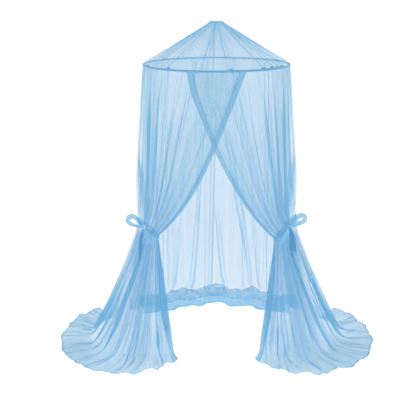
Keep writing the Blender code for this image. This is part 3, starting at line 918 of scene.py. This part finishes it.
ROOF_SEED, ROOF_GATHER_WIDTH = 31, 3.0  # for the draw of the gathers, and for how deep they are
ROOF_DENSITY = 0.32
ROOF_FLANKS = (0.25, 0.75)  # where the eye looks along the cone's side
print("creases placed on the roof:", len(ROOF_LINES))


# %% Roof, put together
def roof_base(share, row):
    radius = mix(CROWN_RADIUS - 0.004, HOOP_RADIUS, row)
    x, y = heading(360 * share)
    return np.stack([x * radius, y * radius, mix(ROOF_TOP, ROOF_FOOT, row)], axis=2)


def roof_wave(share, row):
    """The ten soft creases of the solid."""
    wave = ROOF_CREASE * np.cos(TURN * ROOF_CREASES * share) * (1 + 0.4 * np.sin(6 * math.pi * share + 1.0))
    return np.sin(math.pi * np.clip(row, 0, 1)) * (wave - ROOF_CREASE)


def roof():
    share, row = np.meshgrid(np.linspace(0, 1, 721), np.linspace(0, 1, 40))
    drawn = drawn_creases(ROOF_GATHERS, ROOF_SEED, ROOF_GATHER_WIDTH)
    for line in ROOF_LINES:
        top = line["turn"] / 360 % 1.0
        drawn.append(dict(line, top=top, foot=top, start=-0.2, depth=line["width"] * 1.2))
    aside, out, lines = creases(share, row, drawn)
    points, normals = on_surface(roof_base, share + aside, row)
    lift = roof_wave(share, row) + out * mix(0.3, 1.0, rising(row, 0, 0.4)) * ease((1 - row) / 0.06)
    points = points + normals * lift[:, :, None]
    points[:, -1] = points[:, 0]
    flat = cut_places(share[0] * ROOF_CUT_WIDTH, points)
    density = ROOF_DENSITY * (HOOP_RADIUS / mix(CROWN_RADIUS, HOOP_RADIUS, row)) ** 0.35
    for flank in ROOF_FLANKS:
        density = density * (1 + 0.35 * bump(share, flank, 0.06))
    density = density * (1 + 0.25 * bump(share, 0.5, 0.025))
    cover = veil(density, lines, points, normals)
    cone = make_sheet("roof_net", points, flat, cover, ROOF_NET)
    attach(cone, "root")
    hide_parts("roof")


roof()

# %% [markdown]
# The cone is one flat cut whose straight edges meet in a seam. Its doubled net shows as a darker line, a
# little left of the front middle. A narrow strip of its own, just above the cone, gives it two clean edges.

# %% Roof seam
SEAM_WIDTH = 0.012
SEAM_AT_CROWN, SEAM_AT_HOOP = -0.011, -0.0235  # across from the middle
SEAM_ABOVE = 0.003


def roof_seam():
    """The strip of doubled net where the roof is sewn shut."""
    across, row = np.meshgrid(np.linspace(-0.5, 0.5, 7), np.linspace(0.0, 0.99, 60))
    radius = mix(CROWN_RADIUS, HOOP_RADIUS, row)
    centre = mix(SEAM_AT_CROWN, SEAM_AT_HOOP, row) + across * SEAM_WIDTH
    share = np.arcsin(centre / radius) / TURN
    points, normals = on_surface(roof_base, share, row)
    lift = roof_wave(share, row) + SEAM_ABOVE + 0.0008 * ripple(across * 3, row * 40, 44)
    points = points + normals * lift[:, :, None]
    flat = cut_places(across[0] * SEAM_WIDTH, points)
    seam = make_sheet("roof_seam", points, flat, 0.15 + 1.2 * across**2, BAND)
    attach(seam, "root")


roof_seam()

# %% [markdown]
# ## The hoop and its casing
#
# The rod is the solid's own, with a satin finish. The casing is a band of net folded round it, a little
# puckered by its gathers.

# %% Hoop casing
CASING_RADIUS = 0.0068
CASING_TURNS = 0.94  # of the way round the rod, the slit being on its inner side
CASING_LENGTH = TURN * HOOP_RADIUS
# where the rear seams and the front gathers stand up; turn and wide are in degrees
RUFFLES = table(
    "turn wide high",
    (-64.5, 2.2, 0.013),
    (-37.6, 1.7, 0.014),
    ( 10.4, 1.5, 0.012),
    ( 37.0, 2.4, 0.014),
    ( 45.0, 2.0, 0.017),
    ( 51.0, 1.6, 0.014),
    ( 58.0, 3.0, 0.016),
    (120.0, 2.0, 0.009),
    (171.0, 1.8, 0.007),
    (228.0, 2.0, 0.007),
)


def casing():
    share, turn = np.meshgrid(np.linspace(0, 1, 901), np.linspace(CASING_TURNS / 2, -CASING_TURNS / 2, 17))
    puckers = 0.0010 * ripple(share * 150, turn * 3, 41) + 0.0009 * ripple(share * 52, turn * 2, 42)
    section = CASING_RADIUS + np.abs(puckers) * 1.2
    angle = TURN * turn
    crest = bump(turn, 0.21, 0.06)
    up = section * np.sin(angle)
    for ruffle in RUFFLES:
        off = (share * 360 - ruffle["turn"] + 180) % 360 - 180
        up = up + ruffle["high"] * crest * bump(off, 0, ruffle["wide"])
    x, y = heading(360 * share)
    radius = HOOP_RADIUS + section * np.cos(angle)
    points = np.stack([x * radius, y * radius, HOOP_Z + up], axis=2)
    points[:, -1] = points[:, 0]
    flat = np.stack([share * CASING_LENGTH, turn * TURN * CASING_RADIUS], axis=2)
    cover = 0.40 + 0.10 * np.cos(TURN * share)
    band = make_sheet("hoop_casing_band", points, flat, cover, BAND)
    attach(band, "root")
    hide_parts("hoop_casing")


casing()

# %% [markdown]
# The rod inside is the solid's own mesh. On the real one it is a steel or plastic rod that nobody sees bare,
# so it gets a satin coat with faint mottling. The crown keeps its solid too, under a finish of woven tape:
# Object coordinates carry that weave, since a solid's mesh has no UV map.

# %% Rod and crown finishes
ROD = Finish("satin_rod", Coat_Weight=0.2, Coat_Roughness=0.3)
mottle = ROD.node("ShaderNodeTexNoise", inputs={"Scale": 60.0, "Detail": 4.0})
ROD.feed("Roughness", 0.32 + mottle * 0.15)
ROD.feed("Base Color", ROD.blend(mottle, (0.30, 0.58, 0.80, 1), (0.40, 0.66, 0.86, 1)))
ROD.feed("Normal", ROD.node("ShaderNodeBump", inputs={"Height": mottle, "Distance": 0.0003}))

TAPE_THREAD = 0.0012
TAPE = Finish("crown_tape", Specular_IOR_Level=0.25, Sheen_Weight=0.2)
place = TAPE.node("ShaderNodeTexCoord", output="Object")
tape_x = TAPE.node("ShaderNodeSeparateXYZ", inputs={0: place}, output="X")
tape_y = TAPE.node("ShaderNodeSeparateXYZ", inputs={0: place}, output="Y")
tape_turn = TURN / TAPE_THREAD
over = TAPE.maths("SINE", tape_x * tape_turn) * TAPE.maths("SINE", tape_y * tape_turn)
on_top = TAPE.clamped(over * 0.5 + 0.5)
TAPE.feed("Base Color", TAPE.blend(on_top, (0.13, 0.42, 0.74, 1), (0.20, 0.52, 0.82, 1)))
TAPE.feed("Roughness", 0.85 - over * 0.08)
TAPE.feed("Normal", TAPE.node("ShaderNodeBump", inputs={"Height": over, "Distance": 0.0004}))
for node, finish in (("hoop", ROD), ("crown_disc", TAPE)):
    bpy.data.objects[node].data.materials.clear()
    bpy.data.objects[node].data.materials.append(finish.material)
print("rod and crown finished")

# %% [markdown]
# ## The ties
#
# Each drop is held by a strip of the same net, folded until it is opaque. It runs round the gathered waist,
# makes one bow loop beside the knot and leaves two pointed ends. Every part of it is a strip of cloth along
# a middle line, narrow and deeply creased at the knot, where it is squeezed, and flat further away.

# %% Ties, sizes
STRIP_WIDTH = 0.036
KNOT_FORWARD, KNOT_UP = 0.024, 0.003
TIE_LOOPS = {
    "left": dict(reach=0.133, half=0.031, rise=37.0),
    "right": dict(reach=0.133, half=0.028, rise=37.0),
}
LAST_TURN = {"left": 1.0, "right": 0.6}  # how large the last turn of the knot shows
# an end that is dark has painted shade for its deep folds, and one that isn't has a painted highlight
TIE_ENDS = {
    "left": table(
        "out down forward wide dark cover",
        ( 0.040, 0.230, 0.050, 0.8, True, 0.62),
        (-0.054, 0.118, 0.040, 0.5, False, 0.45),
    ),
    "right": table(
        "out down forward wide dark cover",
        ( 0.029, 0.230, 0.050, 1.0, True, 0.60),
        ( 0.056, 0.208, 0.044, 0.9, True, 0.60),
        (-0.060, 0.135, 0.040, 0.8, False, 0.45),
        ( 0.082, -0.046, 0.020, 1.5, False, 0.72),
    ),
}
KNOT_BALL, KNOT_RING = (0.0125, 0.0095, 0.0140), (0.0105, 0.0105, 0.0115)
KNOT_COVER = 0.85
SQUEEZED_WIDTH = 0.38  # of the strip's own, at the knot
# painted shade: a darker tint for the deep folds of the ends and for the knot's ball
PAINTED_SHADE_TIE = net_finish("tie_end_painted_shade", (0.070, 0.290, 0.545, 1.0), hole_share=0.85)
# painted highlight: a lighter tint for the ends that catch the light
PAINTED_HIGHLIGHT_TIE = net_finish("tie_fold_painted_highlight", (0.210, 0.520, 0.735, 1.0), hole_share=0.85)
# painted highlight: a pale tint for the glint on the knot's last turn
PAINTED_HIGHLIGHT_KNOT = net_finish("knot_turn_painted_highlight", (0.380, 0.650, 0.820, 1.0), hole_share=0.85)


def knot_centre(side):
    depth = WAIST_HALF_DEPTH * math.sqrt(1 - ((KNOT_X - WAIST_X) / WAIST_HALF_WIDTH) ** 2)
    return np.array((KNOT_X, WAIST_Y - depth - KNOT_FORWARD, FLOOR + waist_height(KNOT_X, side) + KNOT_UP))


def unit(vectors):
    return vectors / np.linalg.norm(vectors, axis=1, keepdims=True)


def strip(name, side, middle, facing, spread, seed, cover=0.55, material=TIE):
    """A creased strip along a middle line. spread is how wide it lies open, from 0 to 1."""
    along = np.gradient(middle, axis=0)
    facing = unit(facing)
    lift = unit(np.cross(along, facing))
    across, step = np.meshgrid(np.linspace(-0.5, 0.5, 15), np.arange(len(middle)) * 1.0)
    narrow = 1 - spread[:, None]
    wander = 2.6 * across + 0.6 * ripple(across * 2, step * 0.07, seed)
    crease = (0.0006 + 0.0020 * narrow) * np.cos(TURN * wander)
    crease = crease + 0.0010 * ripple(across * 4, step * 0.2, seed + 1)
    open_width = STRIP_WIDTH * across * mix(SQUEEZED_WIDTH, 1.0, spread[:, None])
    points = middle[:, None] + facing[:, None] * open_width[:, :, None] + lift[:, None] * crease[:, :, None]
    points[:, :, 0] *= side["sign"]
    down = np.broadcast_to(arc_lengths(points)[:, None], across.shape)
    flat = np.stack([across * STRIP_WIDTH, down], axis=2)
    edged = 0.25 * bump(np.abs(across), 0.5, 0.09) + 0.12 * np.cos(TURN * wander)
    return make_sheet(name, points, flat, cover + 0.3 * narrow + edged, material)


print("strip width", STRIP_WIDTH)

# %% [markdown]
# The band runs round the waist as an ellipse and is pinched beside the knot. The bow loop is one half of a
# figure of eight, and an end is a line that sways as it hangs down and forward. The knot is a ball of
# squeezed cloth, darkened with painted shade, with the strip's last turn round it, lightened with a painted
# highlight.


# %% Ties, their parts
def tie_band(name, side, room=0.0036):
    """The strip round the waist, with that much room between it and the gathered drop."""
    turn = np.linspace(0, TURN, 97)
    x = WAIST_X + (WAIST_HALF_WIDTH + room) * np.cos(turn)
    y = WAIST_Y + (WAIST_HALF_DEPTH + room) * np.sin(turn)
    middle = np.stack([x, y, FLOOR + waist_height(x, side)], axis=1)
    near_knot = bump(x, KNOT_X, 0.022) * (y < WAIST_Y)
    upright = np.tile((0.0, 0.0, 1.0), (97, 1))
    return strip(name, side, middle, upright, 0.9 - 0.75 * near_knot, 61, cover=0.38)


def tie_loop(side, reach, half, rise):
    lean = math.radians(rise)
    ahead = np.array((math.cos(lean), 0, math.sin(lean)))
    beside = np.array((-math.sin(lean), 0, math.cos(lean)))
    turn = np.linspace(0.01, 0.99, 61)[:, None] * math.pi
    point = ahead * reach * np.sin(turn) + beside * half * np.sin(2 * turn)
    going = unit(ahead * reach * np.cos(turn) + beside * half * 2 * np.cos(2 * turn))
    forward = np.array((0, -1.0, 0)) * (0.024 * np.sin(turn) + 0.005 * np.cos(turn))
    facing = np.cross(going, (0.0, 1.0, 0.0)) + np.array((0, 0.3, 0))
    spread = ease(np.sin(turn[:, 0]) / 0.75)
    return strip("loop", side, knot_centre(side) + point + forward, facing, spread, 71, cover=0.56)


def tie_end(side, out, down, forward, wide, dark, cover, seed):
    share = np.linspace(0, 1, 41)
    sway = 0.006 * np.sin(1.5 * math.pi * share)
    middle = np.stack([out * share + sway, -forward * ease(share * 1.2), -down * share], axis=1)
    twist = mix(0.15, 0.9, ease(share)) if dark else 0.2 + 0 * share
    facing = np.stack([np.cos(twist), np.sin(twist) * 0.7, out / down + 0 * share], axis=1)
    spread = wide * rising(share, 0, 0.35) * (1 - 1.5 * rising(share, 0.72, 0.28))
    # dark ends get painted shade, the others a painted highlight
    finish = PAINTED_SHADE_TIE if dark else PAINTED_HIGHLIGHT_TIE
    return strip("end", side, knot_centre(side) + middle, facing, spread, seed, cover, finish)


def wound(shape, side, centre, size, creases_round, material):
    """Turns a new ball or ring into squeezed cloth, with creases that wind round it."""
    for vert in shape.data.vertices:
        turn = math.atan2(vert.co.y, vert.co.x)
        crease = 1 + 0.08 * math.cos(creases_round * turn + 4 * vert.co.z)
        place = (vert.co.x, vert.co.z, vert.co.y)
        for axis in range(3):
            vert.co[axis] = centre[axis] + place[axis] * size[axis] * crease
        vert.co.x *= side["sign"]
    bpy.ops.object.mode_set(mode="EDIT")
    bpy.ops.mesh.select_all(action="SELECT")
    bpy.ops.mesh.normals_make_consistent(inside=False)
    # Blender adds the faces of a ball in no fixed order, so they are put in one that every run repeats
    bpy.ops.mesh.sort_elements(type="CURSOR_DISTANCE", elements={"VERT", "FACE"})
    bpy.ops.object.mode_set(mode="OBJECT")
    ones = np.ones(len(shape.data.vertices))
    dress(shape.data, material, cover=KNOT_COVER * ones, from_edge=ones)
    return shape


def tie_knot(side, last_turn):
    """A ball of squeezed strip in painted shade, and the strip's last turn round it in a painted highlight.
    """
    bpy.ops.object.select_all(action="DESELECT")
    bpy.ops.mesh.primitive_uv_sphere_add(segments=40, ring_count=24, radius=1.0)
    # the ball's darker finish is painted shade
    ball = wound(bpy.context.object, side, knot_centre(side), KNOT_BALL, 5, PAINTED_SHADE_TIE)
    bpy.ops.object.select_all(action="DESELECT")
    bpy.ops.mesh.primitive_torus_add(
        major_segments=48, minor_segments=16, major_radius=1.0, minor_radius=0.45
    )
    front = knot_centre(side) + np.array((0.002, -0.007, 0.003))
    size = np.array(KNOT_RING) * last_turn
    # the last turn's pale finish is a painted highlight
    turn = wound(bpy.context.object, side, front, size, 3, PAINTED_HIGHLIGHT_KNOT)
    return [ball, turn]


print("tie parts ready")

# %% [markdown]
# Band, loop, knot and ends are one strip of cloth on the real canopy, so they are joined into one piece for
# each side.


# %% Ties, put together
def tie(name, side):
    band = tie_band(f"{name}_tie_strip", side)
    others = [tie_loop(side, **TIE_LOOPS[name])] + tie_knot(side, LAST_TURN[name])
    for number, end in enumerate(TIE_ENDS[name]):
        others.append(tie_end(side, **end, seed=81 + number))
    bpy.ops.object.select_all(action="DESELECT")
    for piece in others + [band]:
        piece.select_set(True)
    bpy.context.view_layer.objects.active = band
    bpy.ops.object.join()
    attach(band, "root")
    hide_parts(f"{name}_tie")


for name, side in SIDES.items():
    tie(name, side)

# %% [markdown]
# ## The studio
#
# The photo's background is white and throws no shadow. So the world is white to the camera and dimmer as a
# light, the floor glows a little, and wide suns without shadows light the net from all round and from above.

# %% Studio
SKY_AS_LIGHT, SKY_SEEN = 0.36, 1.07
FLOOR_GLOW = 0.66
FILL_LIGHTS = 6
FILL_RISE = 22.0  # degrees above the floor
FILL_ENERGY, TOP_ENERGY = 0.60, 0.20

bpy.context.scene.world = bpy.data.worlds.new("pale_studio")
bpy.context.scene.world.use_nodes = True
sky = bpy.context.scene.world.node_tree
backdrop = sky.nodes["Background"]
backdrop.inputs["Color"].default_value = (1.0, 1.0, 1.0, 1.0)
seen = sky.nodes.new("ShaderNodeLightPath").outputs["Is Camera Ray"]
level = sky.nodes.new("ShaderNodeMapRange")
level.inputs["To Min"].default_value = SKY_AS_LIGHT
level.inputs["To Max"].default_value = SKY_SEEN
sky.links.new(seen, level.inputs["Value"])
sky.links.new(level.outputs["Result"], backdrop.inputs["Strength"])
bpy.context.scene.view_settings.view_transform = "Standard"
bpy.context.scene.cycles.transparent_max_bounces = 64  # a ray can pass through dozens of layers of net

bpy.ops.mesh.primitive_plane_add(size=400, location=(0, 0, FLOOR - 0.0005))
floor = bpy.context.object
floor.name = "studio_floor"
paint = Finish("pale_floor", Base_Color=(0.50, 0.50, 0.50, 1), Roughness=0.9, Specular_IOR_Level=0.1)
paint.shader.inputs["Emission Color"].default_value = (1.0, 1.0, 1.0, 1.0)
paint.shader.inputs["Emission Strength"].default_value = FLOOR_GLOW
floor.data.materials.append(paint.material)


def sun(name, lean, turn, energy, spread):
    """A sun without a shadow. Its lean, turn and spread are in degrees."""
    rotation = (math.radians(lean), 0, math.radians(turn))
    bpy.ops.object.light_add(type="SUN", location=(0, 0, 3), rotation=rotation)
    light = bpy.context.object
    light.name = name
    light.data.energy = energy
    light.data.angle = math.radians(spread)
    light.data.use_shadow = False


for number in range(FILL_LIGHTS):
    sun(f"studio_fill_{number}", 90 - FILL_RISE, 30 + number * 360 / FILL_LIGHTS, FILL_ENERGY, 30)
sun("studio_top", 0, 0, TOP_ENERGY, 60)
print("studio lights:", FILL_LIGHTS + 1)
